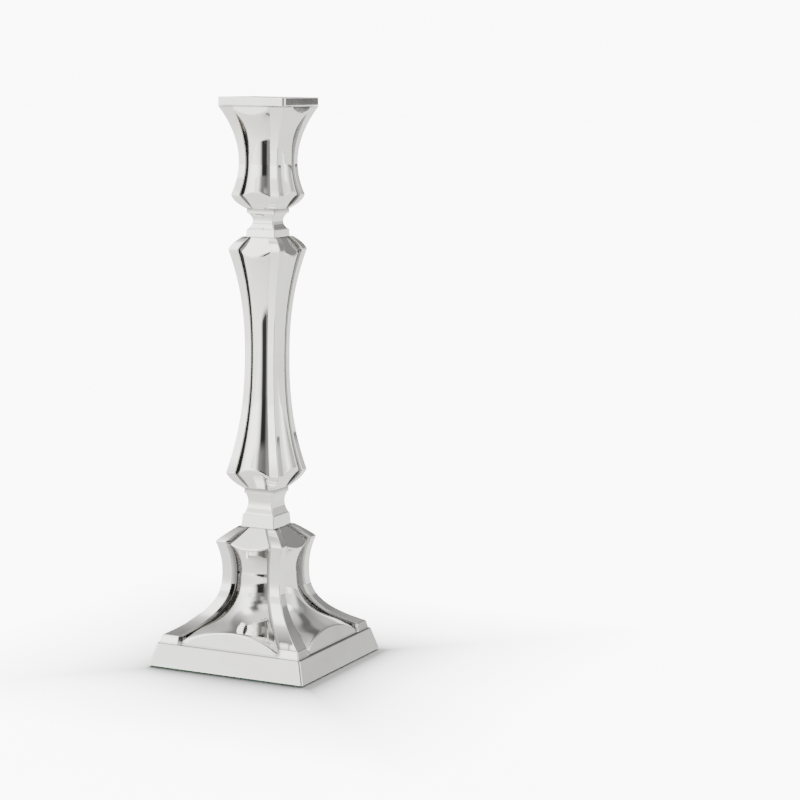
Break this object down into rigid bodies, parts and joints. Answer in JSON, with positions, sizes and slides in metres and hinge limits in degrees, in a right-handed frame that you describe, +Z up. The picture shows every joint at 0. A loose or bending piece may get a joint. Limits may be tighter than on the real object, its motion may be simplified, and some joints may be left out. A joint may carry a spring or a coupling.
{
  "type": "candlestick",
  "caption": "Tall square candlestick in polished silver plate: battered foot, ribbed bell base, waisted ribbed shaft, vase-shaped socket and a square lift-out nozzle.",
  "frame": {"origin": "centre of the underside of the felt pad, on the table", "axes": "+Z up along the candlestick's axis; the four side faces are square to X and Y"},
  "size_m": [0.0922, 0.0922, 0.3],
  "materials": {
    "silver_plate": "polished silver plate",
    "steel": "zinc-plated fasteners and sheet",
    "cast_iron": "as cast",
    "baize": "woven green baize"
  },
  "bodies": {
    "candlestick": {"socket_shell": "silver_plate", "neck_upper": "silver_plate", "shaft_shell": "silver_plate", "neck_lower": "silver_plate", "base_bell": "silver_plate", "plinth": "silver_plate", "tie_rod": "steel", "top_nut": "steel", "top_washer": "steel", "bottom_nut": "steel", "bottom_washer": "steel", "closing_plate": "steel", "closing_screws": "steel", "base_weight": "cast_iron", "felt_pad": "baize"},
    "nozzle": {"nozzle_plate": "silver_plate", "candle_cup": "silver_plate"}
  },
  "joints": [
    {"name": "nozzle_lift", "type": "slide", "parent": "candlestick", "child": "nozzle", "axis": [0, 0, 1], "range_m": [0, 0.03]}
  ]
}
